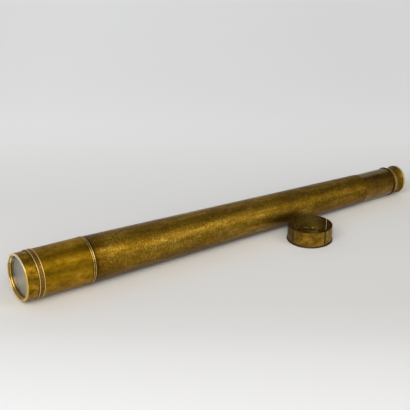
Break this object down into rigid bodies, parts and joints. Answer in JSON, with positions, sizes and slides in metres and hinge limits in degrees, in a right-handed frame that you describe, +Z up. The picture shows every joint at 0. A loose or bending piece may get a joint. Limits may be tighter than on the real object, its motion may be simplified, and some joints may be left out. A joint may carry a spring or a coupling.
{
  "type": "single-draw telescope",
  "caption": "Tapered brass hand telescope with one sliding draw, lying closed on a table, and its slotted brass lens cap standing open side up beside it.",
  "frame": {"origin": "on the table, under the middle of the box that holds the closed telescope and its cap", "axes": "+X along the telescope towards the eye end, level (the telescope's own axis dips 1.10 degrees below +X, because its thin end rests on the table), +Z up, +Y to the side away from the cap"},
  "size_m": [0.6166, 0.12, 0.0627],
  "materials": {
    "clean_brass": "satin, lightly tarnished",
    "aged_brass": "satin, mottled brown and olive patina",
    "dark_brass": "satin, dark brown patina",
    "polished_brass": "polished by handling",
    "blackened_brass": "matt black lacquer",
    "optical_glass": "polished"
  },
  "bodies": {
    "barrel": {"objective_cell": "clean_brass", "objective_ring": "blackened_brass", "crown_lens": "optical_glass", "flint_lens": "optical_glass", "mouth_band": "polished_brass", "front_sleeve": "clean_brass", "sleeve_end_ring": "polished_brass", "barrel": "aged_brass", "baffle_front": "blackened_brass", "baffle_middle": "blackened_brass", "baffle_rear": "blackened_brass", "barrel_end_ring": "dark_brass", "eye_end_collar": "dark_brass", "guide_bush": "dark_brass"},
    "draw": {"draw_tube": "clean_brass", "draw_stop_ring": "dark_brass", "erector_tube": "dark_brass", "erector_front_cell": "clean_brass", "erector_front_lens": "optical_glass", "erector_stop": "blackened_brass", "erector_rear_lens": "optical_glass", "erector_rear_cell": "clean_brass", "eyepiece_tube": "dark_brass", "field_lens": "optical_glass", "field_lens_ring": "clean_brass", "field_stop": "blackened_brass", "eye_lens": "optical_glass", "eye_lens_cell": "blackened_brass", "eyecup": "polished_brass", "shutter_pivot": "dark_brass"},
    "shutter": {"dust_shutter": "dark_brass"},
    "cap": {"cap_plate": "aged_brass", "cap_skirt": "aged_brass"}
  },
  "joints": [
    {"name": "draw_slide", "type": "slide", "parent": "barrel", "child": "draw", "axis": [0.9998, 0, -0.0185], "range_m": [0, 0.284]},
    {"name": "shutter_swing", "type": "hinge", "parent": "draw", "child": "shutter", "pos_m": [0.30701, 0.029, 0.02983], "axis": [0.9998, 0, -0.0185], "range_deg": [0, 70]},
    {"name": "cap_lift", "type": "slide", "parent": "barrel", "child": "cap", "axis": [0, 0, 1], "range_m": [0, 0.1]}
  ]
}
